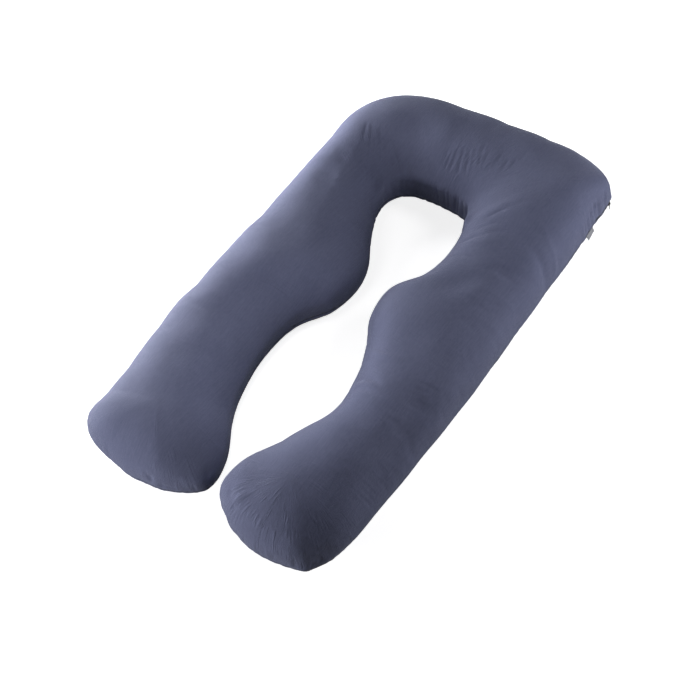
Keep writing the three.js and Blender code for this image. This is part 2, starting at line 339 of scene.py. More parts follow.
# Averages a value over each vertex's neighbours, again and again, so that only its broad part stays
def broadPart(values, edges, rounds):
    count = len(values)
    neighbours = np.maximum(np.bincount(edges.ravel(), minlength=count), 1)
    for _ in range(rounds):
        total = np.bincount(edges[:, 0], values[edges[:, 1]], count)
        total += np.bincount(edges[:, 1], values[edges[:, 0]], count)
        values = 0.5 * values + 0.5 * total / neighbours
    return values


# The filling pushes the cover out until the cloth is tight. The cover is cut a little large, so it
# gathers into soft folds, and their fine part is kept.
fillTrial = {
    "voxel": 0.0095, "pressure": 4.0, "mass": 0.2, "quality": 5, "frames": 20, "spare": 0.025,
    "pinNearSeam": 0.012, "pinUnder": 0.006, "most": 0.010, "broadRounds": 220, "gain": 0.19,
}


def simulateFilling(mesh, seamLine, form):
    trial = addPiece("fill_trial", mesh.copy())
    remesh = trial.modifiers.new("remesh", "REMESH")
    remesh.mode, remesh.voxel_size = "VOXEL", form["voxel"]
    even = finishedMesh(trial)
    trial.modifiers.clear()
    trial.data = even
    rest, normals = (readVectors(even.vertices, attribute) for attribute in ("co", "normal"))
    count = len(seamLine)
    seamTree = BVHTree.FromPolygons(seamLine.tolist(), [(k, (k + 1) % count, k) for k in range(count)])
    pins = trial.vertex_groups.new(name="pins")
    for index, point in enumerate(rest):
        near = seamTree.find_nearest(Vector(point), form["pinNearSeam"])[0] is not None
        if near or point[2] < form["pinUnder"]:
            pins.add([index], 1.0, "REPLACE")
    cloth = trial.modifiers.new("cloth", "CLOTH")
    cloth.settings.vertex_group_mass = pins.name
    cloth.settings.use_pressure = True
    cloth.settings.uniform_pressure_force = form["pressure"]
    cloth.settings.shrink_min = -form["spare"]
    cloth.settings.mass, cloth.settings.quality = form["mass"], form["quality"]
    cloth.settings.effector_weights.gravity = 0
    cloth.point_cache.frame_start, cloth.point_cache.frame_end = 1, form["frames"]
    for step in range(1, form["frames"] + 1):
        bpy.context.scene.frame_set(step)
    moved = ((readVectors(finishedMesh(trial).vertices, "co") - rest) * normals).sum(axis=1)
    bpy.context.scene.frame_set(1)
    edges = np.zeros(len(even.edges) * 2, int)
    even.edges.foreach_get("vertices", edges)
    moved = np.clip(moved, -form["most"], form["most"])
    fine = form["gain"] * (moved - broadPart(moved, edges.reshape(-1, 2), form["broadRounds"]))
    highest = round(float(np.abs(fine).max()) * 1000, 1)
    print("filling settled:", len(rest), "points, folds up to", highest, "mm")
    corners = [tuple(face.vertices) for face in even.polygons]
    tree = BVHTree.FromPolygons(rest.tolist(), corners)
    places = [Vector(point) for point in rest]
    bpy.data.objects.remove(trial)

    def foldAt(point):
        spot, _, face, _ = tree.find_nearest(point)
        shares = poly_3d_calc([places[k] for k in corners[face]], spot)
        return sum(share * fine[k] for share, k in zip(shares, corners[face]))

    return foldAt


# Slow, uneven bulges of loose filling
fillLumps = {"waves": 26, "shortest": 0.09, "longest": 0.24, "height": 0.0010, "seed": 11}


def lumpHeights(points, form):
    chance = np.random.default_rng(form["seed"])
    heights = np.zeros(len(points))
    for _ in range(form["waves"]):
        direction = chance.normal(size=3)
        direction /= np.linalg.norm(direction)
        wave = 2 * math.pi / chance.uniform(form["shortest"], form["longest"])
        heights += np.sin(points @ direction * wave + chance.uniform(0, 2 * math.pi))
    return heights * form["height"] / math.sqrt(form["waves"] / 2)


# Creases of the cover, in millimetres. Folds and dents have a half width, how far they sink in, or
# stand out where that is below zero, and the points that they run through. Fine creases are straight
# and have a depth, a start and an end; they lie where the cover is stretched round the head bar.
coverCreases = {
    "folds": [
        (22, -1.2, [(-85, 600, 150), (-80, 540, 162), (-76, 480, 162), (-72, 420, 150)]),
        (7, 1.6, [(128, 224, 130), (168, 257, 155), (215, 292, 162)]),
        (13, -1.4, [(150, 215, 140), (190, 243, 158), (225, 262, 162)]),
        (10, 1.6, [(148, 302, 154), (180, 348, 164), (214, 390, 166)]),
        (8, -2.8, [(262, 350, 160), (290, 336, 150), (312, 323, 138)]),
        (8, -3, [(315, 318, 135), (332, 306, 105), (338, 300, 70)]),
        (14, 5.2, [(286, 282, 154), (318, 272, 130), (336, 263, 95), (338, 259, 60)]),
        (11, 2.4, [(232, 172, 162), (274, 181, 156), (300, 179, 147)]),
        (6, -2.4, [(112, -137, 115), (165, -150, 158), (220, -146, 166)]),
        (6, 1.8, [(108, -124, 115), (162, -136, 158), (205, -134, 166)]),
        (7, -3, [(140, -240, 125), (175, -229, 152), (215, -234, 160)]),
        (6, 2, [(140, -224, 125), (175, -214, 152), (205, -218, 160)]),
        (6, -1.8, [(165, -257, 145), (202, -253, 159)]),
        (6, -1.8, [(-155, -148, 155), (-118, -133, 128)]),
        (6, -1.8, [(-135, -161, 138), (-108, -147, 105)]),
        (6, -1.6, [(-149, -122, 155), (-118, -111, 135)]),
        (6, 4.5, [(75, -584, 128), (86, -596, 125)]),
        (6, 4.5, [(103, -610, 120), (107, -615, 116)]),
        (16, -3.5, [(108, -590, 141), (118, -598, 137)]),
        (14, 3.5, [(-10, -568, 95), (2, -560, 90)]),
        (5, 4, [(-118, -628, 90), (-104, -631, 82)]),
        (4, 4, [(-90, -632, 72), (-55, -622, 70)]),
    ],
    "dents": [
        (30, 4.5, [(262, 170, 160), (215, 110, 166), (165, 65, 166)]),
        (40, 10, [(285, -160, 155), (310, -260, 140), (325, -360, 125), (330, -460, 110)]),
        (34, 5, [(-150, -60, 165), (-180, -140, 160), (-190, -230, 156), (-176, -320, 154)]),
        (30, -5, [(60, -470, 120), (75, -530, 125), (110, -580, 125)]),
        (55, 10, [(-150, 420, 150), (-135, 330, 140), (-115, 260, 138), (-90, 150, 138)]),
        (40, -5, [(-270, 430, 150), (-280, 330, 150), (-280, 230, 150), (-275, 120, 150)]),
        (45, 8, [(300, 120, 150), (315, 40, 150), (325, -60, 150)]),
        (50, -4, [(205, 500, 164), (240, 430, 166), (262, 350, 164)]),
    ],
    "fineWidth": 3.6,
    "fine": [
        (1, (-240, 425, 166), (-205, 365, 163)), (1.4, (-214, 421, 166), (-176, 366, 158)),
        (1.6, (-203, 411, 165), (-135, 376, 140)), (1.4, (-176, 408, 163), (-126, 373, 135)),
        (1.5, (-159, 398, 158), (-115, 362, 125)), (1.2, (-256, 425, 165), (-229, 368, 166)),
        (1, (-40, 470, 160), (-34, 401, 138)), (1.5, (-28, 450, 154), (-22, 398, 135)),
        (1.9, (-19, 462, 157), (-8, 400, 138)), (1.9, (-9, 475, 159), (14, 402, 138)),
        (2.3, (6, 478, 160), (34, 404, 139)), (1.6, (15, 489, 160), (46, 414, 146)),
        (1.8, (28, 503, 161), (55, 426, 151)), (1.2, (46, 500, 161), (62, 440, 155)),
        (1.6, (80, 510, 161), (84, 448, 159)), (1.4, (104, 496, 162), (107, 440, 159)),
        (1.4, (120, 512, 162), (120, 456, 161)), (1.2, (128, 545, 160), (131, 488, 162)),
        (1.2, (-19, 600, 142), (-5, 534, 159)), (1, (5, 612, 134), (15, 551, 158)),
        (1.2, (49, 600, 142), (53, 550, 158)), (1.4, (-63, 598, 143), (-45, 540, 160)),
        (0.9, (-102, 605, 140), (-84, 556, 156)), (1.5, (148, 270, 149), (185, 305, 161)),
        (1.5, (153, 309, 156), (180, 348, 164)), (1.8, (136, 228, 138), (164, 252, 154)),
    ],
    "steps": 24, "endFade": 0.6,
}

# Gathers beside the zip's head end, in millimetres: where each lies along the side, and its depth
zipGathers = {
    "side": 336, "lowest": 60, "highest": 122, "width": 3.6,
    "places": [(446, 4.5), (459, 6.6), (479, 7), (500, 8.5), (515, 7.8), (544, 6)],
}


def allCreases(table, gathers):
    found = table["folds"] + table["dents"]
    found += [(table["fineWidth"], depth, [start, end]) for depth, start, end in table["fine"]]
    side, low, high = (gathers[name] for name in ("side", "lowest", "highest"))
    for y, depth in gathers["places"]:
        through = [(side - 12, y + 1, high), (side, y - 1, (high + low) / 2), (side, y + 3, low)]
        found.append((gathers["width"], depth, through))
    return found


# How far each vertex sinks in: the nearest stretch of a crease counts, and a crease fades at its ends
def creaseDepths(points, table, gathers):
    depths = np.zeros(len(points))
    for width, depth, through in allCreases(table, gathers):
        width /= 1000
        way = np.linspace(0, len(through) - 1, table["steps"])
        route = throughPoints(np.array(through) / 1000, way, False)
        middle, radius = route.mean(axis=0), np.ptp(route, axis=0).max() / 2 + 4 * width
        near = np.flatnonzero(np.abs(points - middle).max(axis=1) < radius)
        gaps = np.linalg.norm(points[near][:, None] - route[None], axis=2)
        nearest = gaps.argmin(axis=1)
        fade = np.sin(math.pi * (nearest + 1) / (len(route) + 1)) ** table["endFade"]
        depths[near] += depth / 1000 * fade * bell(gaps.min(axis=1), width)
    return depths


# Short puckers that start at the seam. Zones, given in rows of the outline, have more or fewer of them.
seamPuckers = {
    "seed": 5, "spacing": (0.013, 0.032), "width": (0.0040, 0.0075), "length": (0.014, 0.050),
    "depth": (0.0006, 0.0018), "start": 0.004, "taper": 1.3, "slant": 0.35, "usual": 0.55,
    "longest": 1.6,  # the most that a zone's strength lengthens a pucker
    "zones": [  # from row, to row, strength
        (16.9, 18.6, 2.6),  # corner above the zip
        (18.6, 22.5, 1.1),  # along the zip
        (28.0, 35.0, 1.5),  # right foot
        (44.8, 47.6, 3.2),  # right corner of the head hollow
        (47.6, 54.0, 2.0),  # rest of the head hollow
        (36.0, 40.5, 0.9), (58.0, 62.0, 0.9),  # hollows beside the legs
        (63.5, 70.0, 1.3),  # left foot
    ],
}


def puckerDepths(outline, away, form):
    chance = np.random.default_rng(form["seed"])
    depths = np.zeros_like(away)
    along = outline.distance[:-1]
    for side in (1, -1):
        start = 0.0
        while start < outline.length:
            start += chance.uniform(*form["spacing"])
            sizes = (chance.uniform(*form[name]) for name in ("width", "length", "depth"))
            width, length, depth = sizes
            slant = chance.uniform(-form["slant"], form["slant"])
            place = np.interp(start, outline.distance, np.arange(outline.count + 1) / outline.steps)
            found = [strength for first, last, strength in form["zones"] if first <= place <= last]
            strength = max(found or [form["usual"]])
            rings = np.flatnonzero(np.abs(along - start) < 3 * width + length * form["slant"])
            up = np.clip(away[rings] * side, 0, None)
            sideways = along[rings][:, None] - start - slant * up
            left = np.clip(1 - up / (length * min(strength, form["longest"])), 0, 1)
            height = left ** form["taper"] * (1 - np.exp(-up / form["start"]))
            depths[rings] += depth * strength * height * bell(sideways, width)
    return depths


# Pleats that run up the wall inside the head bar, from the seam to the bend
wallPleats = {
    "seed": 3, "places": (45.3, 52.6), "spacing": (0.009, 0.020), "width": (0.0022, 0.0042),
    "depth": (0.0020, 0.0052), "slant": 0.12, "foot": 0.010, "top": 0.044, "end": 0.070,
    "fullUntil": 48.2, "lossPerRow": 0.45, "least": 0.15,
}


def pleatDepths(outline, away, form):
    chance = np.random.default_rng(form["seed"])
    depths = np.zeros_like(away)
    along = outline.distance[:-1]
    start, last = np.interp(form["places"], outline.places, along)
    foot = np.clip(away / form["foot"], 0, 1)
    top = np.clip((form["end"] - away) / (form["end"] - form["top"]), 0, 1)
    reach = smoothStep(foot * top)
    while start < last:
        width, depth = (chance.uniform(*form[name]) for name in ("width", "depth"))
        slant = chance.uniform(-form["slant"], form["slant"])
        past = np.interp(start, along, outline.places) - form["fullUntil"]
        strength = np.clip(1 - form["lossPerRow"] * past, form["least"], 1.0)
        rings = np.flatnonzero(np.abs(along - start) < 4 * width + form["end"] * form["slant"])
        sideways = along[rings][:, None] - start - slant * away[rings]
        depths[rings] += depth * strength * reach[rings] * bell(sideways, width)
        start += chance.uniform(*form["spacing"])
    return depths


# The seam line draws the cover in. Along the zip it opens into a shallow groove with rolled lips.
seamForm = {
    "depth": 0.0045, "width": 0.0036, "sharpness": 1.4,
    "zipRows": (16.98, 22.35), "zipFloor": 0.0031, "zipLip": 0.0018, "lipBulge": 0.0007, "zipFade": 0.16,
    "sliderDip": (17.2, 0.0013, 0.16), "dipHeight": 0.012,
    "calm": 0.75, "calmWidth": 0.010,  # other relief is weaker this near the seam
    # where the seam stands out or is pinched in, in millimetres: place, reach, half length, height
    "ears": [
        ((-336, -395), 5.8, 55, 50), ((-336, -485), 5.8, 55, 50), ((-337, -558), 6.4, 24, 30),
        ((-318, -592), 3.2, 22, 30), ((-244, -622), 1.6, 40, 30), ((-130, -637), -3.8, 35, 20),
        ((98, -630), 2.2, 10, 14), ((74, -614), -2, 8, 30), ((291, -628), 4.5, 18, 14),
        ((318, -588), 3.5, 25, 20), ((327, 585), 4, 12, 20), ((88, 318), -10, 14, 60),
        ((72, 342), -10, 17, 60),
    ],
}


# The slider pulls the zip straight at the corner, a little further in
def sliderDip(places, form):
    spot, depth, reach = form["sliderDip"]
    return depth * bell(places - spot, reach)


def zipShare(places, form):
    first, last = form["zipRows"]
    fade = form["zipFade"]
    return smoothStep(np.clip((places - first) / fade, 0, 1) * np.clip((last - places) / fade, 0, 1))


# Outward offsets, below zero where the seam pulls the cover in
def seamOffsets(outline, away, form):
    gap = np.abs(away)
    floor, lip = form["zipFloor"], form["zipLip"]
    plain = form["depth"] * np.exp(-(gap / form["width"]) ** form["sharpness"])
    wall = 1 / (1 + np.exp((gap - floor - lip / 2) / (lip / 5)))
    bulge = form["lipBulge"] * bell(gap - floor - 2 * lip, lip)
    share = zipShare(outline.places, form)[:, None]
    offsets = -(share * (form["depth"] * wall - bulge) + (1 - share) * plain)
    offsets -= sliderDip(outline.places, form)[:, None] * bell(gap, form["dipHeight"])
    for ear in form["ears"]:
        spot, reach, halfLength, height = np.array(ear[0]) / 1000, *(part / 1000 for part in ear[1:])
        along = outline.distance[:-1] - outline.distance[outline.nearestRing(spot)]
        along = (along + outline.length / 2) % outline.length - outline.length / 2
        offsets += reach * bell(along, halfLength)[:, None] * bell(away, height)
    return offsets


def jerseyCover(outline, grid, form):
    sections = pillowSections(outline, form)
    steps = np.linalg.norm(np.diff(sections, axis=1), axis=2)
    fromCrown = np.hstack([np.zeros((grid.rings, 1)), np.cumsum(steps, axis=1)])
    away = fromCrown[:, [grid.seamColumn]] - fromCrown  # above zero on the upper side
    points = grid.weld(sections)
    mesh = meshFrom("pillow_cover", points, grid.faces())
    normals = readVectors(mesh.vertices, "normal")
    height = lumpHeights(points, fillLumps)
    height -= creaseDepths(points, coverCreases, zipGathers)
    height -= grid.weld(puckerDepths(outline, away, seamPuckers))
    height -= grid.weld(pleatDepths(outline, away, wallPleats))
    seamLine = np.column_stack([outline.seam, sections[:, grid.seamColumn, 2]])
    foldAt = simulateFilling(mesh, seamLine, fillTrial)
    height += np.array([foldAt(Vector(point)) for point in points])
    gap = grid.weld(np.abs(away))
    rests = np.clip(points[:, 2] / form["restFade"], 0, 1)
    height *= rests * rests * (1 - seamForm["calm"] * bell(gap, seamForm["calmWidth"]))
    points = points + normals * height[:, None]
    offsets = grid.weld(seamOffsets(outline, away, seamForm)) * rests
    outward = np.pad(outline.outward, ((0, 0), (0, 1)))
    outward = grid.weld(np.repeat(outward[:, None], grid.across + 1, axis=1))
    points += outward * offsets[:, None]
    points[:, 2] = np.maximum(points[:, 2], 0)
    mesh.vertices.foreach_set("co", points.ravel())
    mesh.update()
    addCoverMaps(mesh, outline, grid, fromCrown, gap)
    return mesh


# Two maps in metres: the flat panels, with the knit's columns along y, and the limb, with the way along
# its spine and the way across it. Two attributes: how far each point is from the seam, and how creased.
def addCoverMaps(mesh, outline, grid, fromCrown, gap):
    ring, column = grid.cornerRing, grid.cornerColumn
    wrapped = ring % grid.rings
    crown, seam = outline.crown[:, :2], outline.seam
    direction = unit(seam - crown)
    length = fromCrown[wrapped, column]
    onPanel = np.where(grid.cornerBelow, fromCrown[wrapped, -1] - length, length)[:, None]
    lowerPanel = np.where(grid.cornerBelow, 2.0, 0.0)[:, None]  # its map lies 2 m away from the upper one's
    flat = crown[wrapped] + direction[wrapped] * onPanel + lowerPanel
    spineRows = np.arange(grid.spineCount) / outline.steps
    spineWay = runningLength(np.linalg.norm(np.diff(outline.crownAt(spineRows), axis=0), axis=1))
    places = ring / outline.steps
    way = np.interp(outline.spinePlace(places), spineRows, spineWay)
    footMiddle = (outline.innerStart - outline.lastRow) / 2
    rightTurn = places - outline.lastRow
    leftTurn = places - outline.innerStart - outline.lastRow
    for turn, sign in ((rightTurn, 1), (leftTurn, -1)):
        turned = footMiddle - np.abs(np.clip(turn, 0, 2 * footMiddle) - footMiddle)
        way = way + sign * pillowForm["footRow"] * turned
    onOuter = (places <= outline.lastRow + footMiddle) | (places > len(outline.points) - footMiddle)
    limb = np.column_stack([way, np.where(onOuter, 1.0, -1.0) * length])
    for name, values in (("panels", flat), ("limb", limb)):
        mesh.uv_layers.new(name=name).data.foreach_set("uv", values.ravel())
    for name, values in (("seamGap", gap), ("creasing", creasingAt(mesh, gap))):
        mesh.attributes.new(name, "FLOAT", "POINT").data.foreach_set("value", values)


# Where fine stretch lines run across the limbs: the middle of a patch, its half size and its strength
stretchPatches = {
    "everywhere": 0.20, "nearSeam": 0.35, "seamReach": 0.03,
    "patches": [
        ((0.02, 0.43), 0.065, 0.7), ((0.11, 0.48), 0.070, 0.6), ((-0.19, 0.40), 0.070, 0.5),
        ((0.03, 0.58), 0.080, 0.3), ((0.17, 0.26), 0.080, 0.5), ((0.16, -0.18), 0.090, 0.6),
        ((0.33, 0.48), 0.060, 0.9), ((0.12, -0.60), 0.080, 1.1), ((-0.13, -0.14), 0.070, 0.8),
        ((-0.07, -0.60), 0.080, 0.5), ((0.25, -0.60), 0.080, 0.7),
    ],
}


def creasingAt(mesh, gap):
    flat = readVectors(mesh.vertices, "co")[:, :2]
    form = stretchPatches
    strength = form["everywhere"] + form["nearSeam"] * bell(gap, form["seamReach"])
    for spot, size, patch in form["patches"]:
        strength += patch * bell(np.linalg.norm(flat - np.array(spot), axis=1), size)
    return strength


def feed(tree, socket, value):
    if isinstance(value, bpy.types.NodeSocket):
        tree.links.new(value, socket)
    else:
        socket.default_value = value


def addNode(tree, kind, settings=None, inputs=None):
    node = tree.nodes.new(kind)
    for name, value in (settings or {}).items():
        setattr(node, name, value)
    for name, value in (inputs or {}).items():
        feed(tree, node.inputs[name], value)
    return node


def calc(tree, operation, *values):
    node = addNode(tree, "ShaderNodeMath", {"operation": operation})
    for socket, value in zip(node.inputs, values):
        feed(tree, socket, value)
    return node.outputs[0]


def readMap(tree, name):
    place = addNode(tree, "ShaderNodeUVMap", {"uv_map": name}).outputs["UV"]
    split = addNode(tree, "ShaderNodeSeparateXYZ", None, {"Vector": place})
    return split.outputs["X"], split.outputs["Y"]


def noiseOver(tree, place, scale, detail):
    given = {"Vector": place, "Scale": scale, "Detail": detail}
    return addNode(tree, "ShaderNodeTexNoise", None, given).outputs["Fac"]


# Noise over a map, with a size for each of its two ways. Another z gives another pattern.
def streaks(tree, ways, sizes, detail, z=0.0):
    x, y = (calc(tree, "DIVIDE", way, size) for way, size in zip(ways, sizes))
    place = addNode(tree, "ShaderNodeCombineXYZ", None, {"X": x, "Y": y, "Z": z}).outputs[0]
    return noiseOver(tree, place, 1.0, detail)


def mixColours(tree, share, first, second):
    tint = addNode(tree, "ShaderNodeMix", {"data_type": "RGBA"}, {"Factor": share})
    for socket, colour in ((tint.inputs[6], first), (tint.inputs[7], second)):
        socket.default_value = (*colour, 1)
    return tint.outputs[2]


def addBump(tree, height):
    bump = addNode(tree, "ShaderNodeBump", None, {"Strength": 1.0, "Distance": 1.0, "Height": height})
    tree.links.new(bump.outputs["Normal"], tree.nodes["Principled BSDF"].inputs["Normal"])


def plainMaterial(name, colour, roughness, sheen=0.0, more=None):
    material = bpy.data.materials.new(name)
    material.use_nodes = True
    inputs = material.node_tree.nodes["Principled BSDF"].inputs
    given = {"Base Color": (*colour, 1), "Roughness": roughness, "Sheen Weight": sheen, **(more or {})}
    for socket, value in given.items():
        inputs[socket].default_value = value
    return material


# Fine single jersey, in metres. Noises have a size across and a size along.
jerseyFinish = {
    "colour": (0.086, 0.095, 0.163), "lighter": (0.121, 0.132, 0.214),
    # painted shade: the colour is darkened to this share in the seam's groove, where shade falls;
    # grooveWidth is how far from the seam it reaches
    "paintedGrooveShade": 0.55, "grooveWidth": 0.0035,
    "waleWidth": 0.0011, "courseHeight": 0.0008, "loopLean": 1.3, "knitDepth": 0.00010,
    "stretchSize": (0.0090, 0.075), "stretchDepth": 0.0022, "stretchPower": 0.8,
    "breakSize": (0.035, 0.035), "breaks": (0.42, 0.62),  # noise values between which the lines appear
    "slubSize": (0.0032, 0.014), "slubDepth": 0.00052,
    # how much of the colour's unevenness comes from each kind, and how strong it is in all
    "patches": 0.40, "yarn": 0.2, "fleck": 0.3, "contrast": (3.0, -1.24),
    "patchScale": 6.0, "yarnSize": (0.0011 / 0.35, 1 / 9), "fleckSize": (0.0011 / 1.3, 1 / 700),
    "roughness": 0.9, "specular": 0.2,
    "sheen": 0.22, "sheenRoughness": 0.35, "sheenTint": (0.80, 0.84, 1.0),
}


def jerseyMaterial(finish):
    material = plainMaterial("cover_jersey", finish["colour"], finish["roughness"], finish["sheen"], {
        "Sheen Roughness": finish["sheenRoughness"], "Sheen Tint": (*finish["sheenTint"], 1),
        "Specular IOR Level": finish["specular"],
    })
    tree = material.node_tree
    panels = readMap(tree, "panels")
    wale = calc(tree, "DIVIDE", panels[0], finish["waleWidth"])
    leg = calc(tree, "PINGPONG", wale, 0.5)
    course = calc(tree, "DIVIDE", panels[1], finish["courseHeight"])
    course = calc(tree, "MULTIPLY_ADD", leg, finish["loopLean"], course)
    loops = calc(tree, "SINE", calc(tree, "MULTIPLY", course, 2 * math.pi))
    columns = calc(tree, "COSINE", calc(tree, "MULTIPLY", wale, 2 * math.pi))
    knit = calc(tree, "MULTIPLY", calc(tree, "ADD", columns, loops), finish["knitDepth"] / 2)

    limb = readMap(tree, "limb")
    creasing = addNode(tree, "ShaderNodeAttribute", {"attribute_name": "creasing"}).outputs["Fac"]
    lines = calc(tree, "MULTIPLY_ADD", streaks(tree, limb, finish["stretchSize"], 1.5), 2.0, -1.0)
    ridged = calc(tree, "POWER", calc(tree, "ABSOLUTE", lines), finish["stretchPower"])
    broken = addNode(tree, "ShaderNodeMapRange", None, {
        "Value": streaks(tree, limb, finish["breakSize"], 1.0, 2.0),
        "From Min": finish["breaks"][0], "From Max": finish["breaks"][1],
    })
    ridged = calc(tree, "MULTIPLY", ridged, broken.outputs[0])
    stretch = calc(tree, "MULTIPLY", calc(tree, "MULTIPLY", ridged, creasing), finish["stretchDepth"])
    slubs = streaks(tree, panels, finish["slubSize"], 2.0, 8.0)
    relief = calc(tree, "MULTIPLY_ADD", slubs, finish["slubDepth"], calc(tree, "ADD", knit, stretch))
    addBump(tree, relief)

    place = addNode(tree, "ShaderNodeTexCoord").outputs["Object"]
    patches = calc(tree, "MULTIPLY", noiseOver(tree, place, finish["patchScale"], 3.0), finish["patches"])
    yarn = streaks(tree, panels, finish["yarnSize"], 1.0)
    blend = calc(tree, "MULTIPLY_ADD", yarn, finish["yarn"], patches)
    flecks = calc(tree, "ADD", streaks(tree, panels, finish["fleckSize"], 1.0, 4.0), slubs)
    blend = calc(tree, "MULTIPLY_ADD", flecks, finish["fleck"], blend)
    blend = calc(tree, "MULTIPLY_ADD", blend, *finish["contrast"])
    # painted shade: the base colour is darkened towards the bottom of the seam's groove, where shade falls
    gap = addNode(tree, "ShaderNodeAttribute", {"attribute_name": "seamGap"}).outputs["Fac"]
    shade = addNode(tree, "ShaderNodeMapRange", None, {
        "Value": gap, "From Max": finish["grooveWidth"], "To Min": finish["paintedGrooveShade"], "To Max": 1.0,
    })
    shaded = addNode(tree, "ShaderNodeVectorMath", {"operation": "SCALE"}, {"Scale": shade.outputs[0]})
    tree.links.new(mixColours(tree, blend, finish["colour"], finish["lighter"]), shaded.inputs[0])
    tree.links.new(shaded.outputs[0], tree.nodes["Principled BSDF"].inputs["Base Color"])
    return material


outline = PillowOutline(pillowPlan, pillowForm["stepsPerRow"])
grid = PillowGrid(outline, pillowForm)
cover = addPiece("pillow_cover", jerseyCover(outline, grid, pillowForm))
cover.data.materials.append(jerseyMaterial(jerseyFinish))
print("pillow cover:", len(cover.data.polygons), "faces")
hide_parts("pillow")
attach(cover, "root")


# Beads that follow a path, such as teeth and stitches. x runs along the path, z is up and y stands out.
def beadTree():
    tree = bpy.data.node_groups.new("beads_along_path", "GeometryNodeTree")
    sockets = [("Geometry", "INPUT", "Geometry")]
    sizes = ("Pitch", "Length", "Depth", "Height", "Sway", "Jitter")
    sockets += [(name, "INPUT", "Float") for name in sizes]
    sockets += [("Seed", "INPUT", "Int"), ("Material", "INPUT", "Material")]
    sockets += [("Geometry", "OUTPUT", "Geometry")]
    for name, way, kind in sockets:
        tree.interface.new_socket(name, in_out=way, socket_type="NodeSocket" + kind)
    given = addNode(tree, "NodeGroupInput").outputs
    points = addNode(tree, "GeometryNodeCurveToPoints", {"mode": "LENGTH"}, {
        "Curve": given["Geometry"], "Length": given["Pitch"],
    }).outputs
    turn = addNode(tree, "FunctionNodeAlignRotationToVector", {"axis": "X"}, {"Vector": points["Tangent"]})
    upright = addNode(tree, "FunctionNodeAlignRotationToVector", {"axis": "Z", "pivot_axis": "X"}, {
        "Rotation": turn.outputs[0], "Vector": (0.0, 0.0, 1.0),
    })
    index = addNode(tree, "GeometryNodeInputIndex").outputs[0]
    parity = calc(tree, "MULTIPLY_ADD", calc(tree, "MODULO", index, 2.0), 2.0, -1.0)
    lift = addNode(tree, "ShaderNodeCombineXYZ", None, {"Z": calc(tree, "MULTIPLY", parity, given["Sway"])})
    placed = addNode(tree, "GeometryNodeSetPosition", None, {
        "Geometry": points["Points"], "Offset": lift.outputs[0],
    })
    bead = addNode(tree, "GeometryNodeMeshUVSphere", None, {"Segments": 8, "Rings": 5, "Radius": 0.5})
    size = addNode(tree, "ShaderNodeCombineXYZ", None, {
        "X": given["Length"], "Y": given["Depth"], "Z": given["Height"],
    })
    chance = addNode(tree, "FunctionNodeRandomValue", {"data_type": "FLOAT"}, {"Seed": given["Seed"]})
    spread = calc(tree, "MULTIPLY", given["Jitter"], calc(tree, "SUBTRACT", chance.outputs[1], 0.5))
    grown = addNode(tree, "ShaderNodeVectorMath", {"operation": "SCALE"}, {
        "Vector": size.outputs[0], "Scale": calc(tree, "ADD", spread, 1.0),
    })
    last = addNode(tree, "GeometryNodeInstanceOnPoints", None, {
        "Points": placed.outputs[0], "Instance": bead.outputs["Mesh"],
        "Rotation": upright.outputs[0], "Scale": grown.outputs[0],
    })
    for kind, more in (
        ("GeometryNodeRealizeInstances", {}),
        ("GeometryNodeSetShadeSmooth", {}),
        ("GeometryNodeSetMaterial", {"Material": given["Material"]}),
        ("NodeGroupOutput", {}),
    ):
        last = addNode(tree, kind, None, {"Geometry": last.outputs[0], **more})
    return tree


def beadsAlong(name, tree, paths, sizes, material):
    curve = bpy.data.curves.new(name + "_path", "CURVE")
    curve.dimensions = "3D"
    for path in paths:
        spline = curve.splines.new("POLY")
        spline.points.add(len(path) - 1)
        spline.points.foreach_set("co", np.column_stack([path, np.ones(len(path))]).ravel())
    host = addPiece(name + "_path", curve)
    modifier = host.modifiers.new("beads", "NODES")
    modifier.node_group = tree
    sockets = {item.name: item.identifier for item in tree.interface.items_tree if item.in_out == "INPUT"}
    for label, value in {**sizes, "Material": material}.items():
        modifier[sockets[label]] = value
    mesh = finishedMesh(host)
    mesh.name = name
    bpy.data.objects.remove(host)
    return addPiece(name, mesh)


# A line along the seam, some way out from it and above it
def seamPath(outline, places, out, above):
    points = np.column_stack([outline.seamAt(places), outline.heightAt(places) + above])
    points[:, :2] += outline.outwardAt(places) * (out - sliderDip(places, seamForm))[:, None]
    return points


# Closed zip in the seam's groove: two woven tapes, and the coil whose turns lock in the middle
zipForm = {
    "start": 17.02, "end": 22.31, "steps": 420,
    "tapeBack": -0.0042, "tapeFront": -0.0037, "tapeInner": 0.0001, "tapeOuter": 0.0036,
    "coilOut": -0.0030, "stitchUp": 0.0029, "stitchOut": -0.0037,
    "nylonColour": (0.016, 0.017, 0.024), "threadColour": (0.060, 0.066, 0.105),
    "coil": {
        "Pitch": 0.0007, "Length": 0.00085, "Depth": 0.0015, "Height": 0.0034,
        "Sway": 0.0006, "Jitter": 0.04, "Seed": 2,
    },
    "stitch": {
        "Pitch": 0.0028, "Length": 0.0022, "Depth": 0.0004, "Height": 0.0004,
        "Sway": 0.0, "Jitter": 0.25, "Seed": 3,
    },
    "tape": {
        "colour": (0.030, 0.033, 0.052), "roughness": 0.85, "sheen": 0.3,
        "ribs": 0.0009, "rows": 0.0006, "relief": 0.00008,
    },
}


# Quads between neighbouring rows of points, where a closed row also joins its last point to its first
def stripFaces(rows, count, closed):
    return [
        (k * count + j, k * count + (j + 1) % count, (k + 1) * count + (j + 1) % count, (k + 1) * count + j)
        for k in range(rows - 1) for j in range(count if closed else count - 1)
    ]


